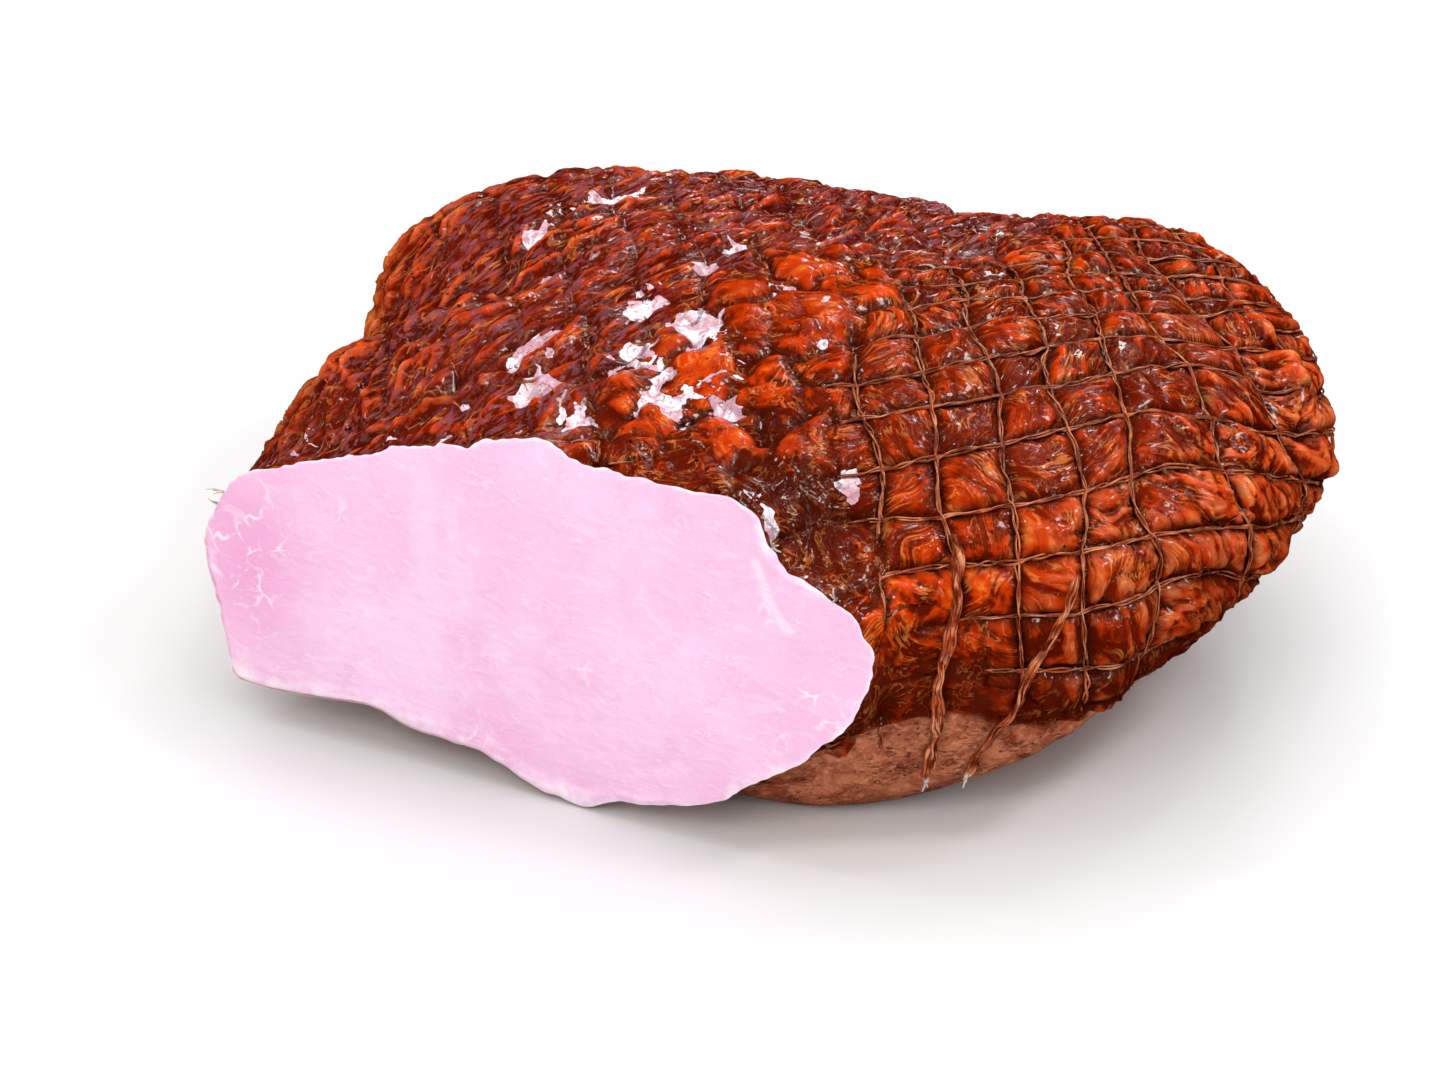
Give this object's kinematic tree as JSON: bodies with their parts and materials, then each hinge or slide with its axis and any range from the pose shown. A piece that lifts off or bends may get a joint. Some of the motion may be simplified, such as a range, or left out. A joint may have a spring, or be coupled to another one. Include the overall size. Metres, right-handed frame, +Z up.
{
  "type": "smoked ham",
  "caption": "Boneless smoked ham lying on its rind, cut open across one end to show pink meat, the rest still in a knitted roasting net gathered and tied at the far end.",
  "frame": {"origin": "middle of the footprint box, at the table under the ham", "axes": "+Z up from the table; -X is the way the flat cut face looks, so +X runs from the cut into the ham; +Y runs along the cut, to the left of someone facing it"},
  "size_m": [0.2344, 0.286, 0.1186],
  "materials": {
    "smoked_ham": null,
    "net_thread": "twisted cotton net thread stained brown by the smoke"
  },
  "bodies": {
    "root": {"ham_meat": "smoked_ham", "net_gather": "net_thread", "net_hoop_01": "net_thread", "net_hoop_02": "net_thread", "net_hoop_03": "net_thread", "net_hoop_04": "net_thread", "net_hoop_05": "net_thread", "net_hoop_06": "net_thread", "net_hoop_07": "net_thread", "net_hoop_08": "net_thread", "net_hoop_09": "net_thread", "net_hoop_10": "net_thread", "net_hoop_11": "net_thread", "net_hoop_12": "net_thread", "net_hoop_13": "net_thread", "net_hoop_14": "net_thread", "net_hoop_15": "net_thread", "net_hoop_16": "net_thread", "net_hoop_17": "net_thread", "net_hoop_18": "net_thread", "net_strand_01": "net_thread", "net_strand_02": "net_thread", "net_strand_03": "net_thread", "net_strand_04": "net_thread", "net_strand_05": "net_thread", "net_strand_06": "net_thread", "net_strand_07": "net_thread", "net_strand_08": "net_thread", "net_strand_09": "net_thread", "net_strand_10": "net_thread", "net_strand_11": "net_thread", "net_strand_12": "net_thread", "net_strand_13": "net_thread", "net_strand_14": "net_thread", "net_strand_15": "net_thread", "net_strand_16": "net_thread", "net_strand_17": "net_thread", "net_strand_18": "net_thread", "net_strand_19": "net_thread", "net_strand_20": "net_thread", "net_strand_21": "net_thread", "net_strand_22": "net_thread", "net_strand_23": "net_thread", "net_strand_24": "net_thread", "net_strand_25": "net_thread", "net_tail_1": "net_thread", "net_tail_2": "net_thread", "net_tie": "net_thread"}
  },
  "joints": []
}
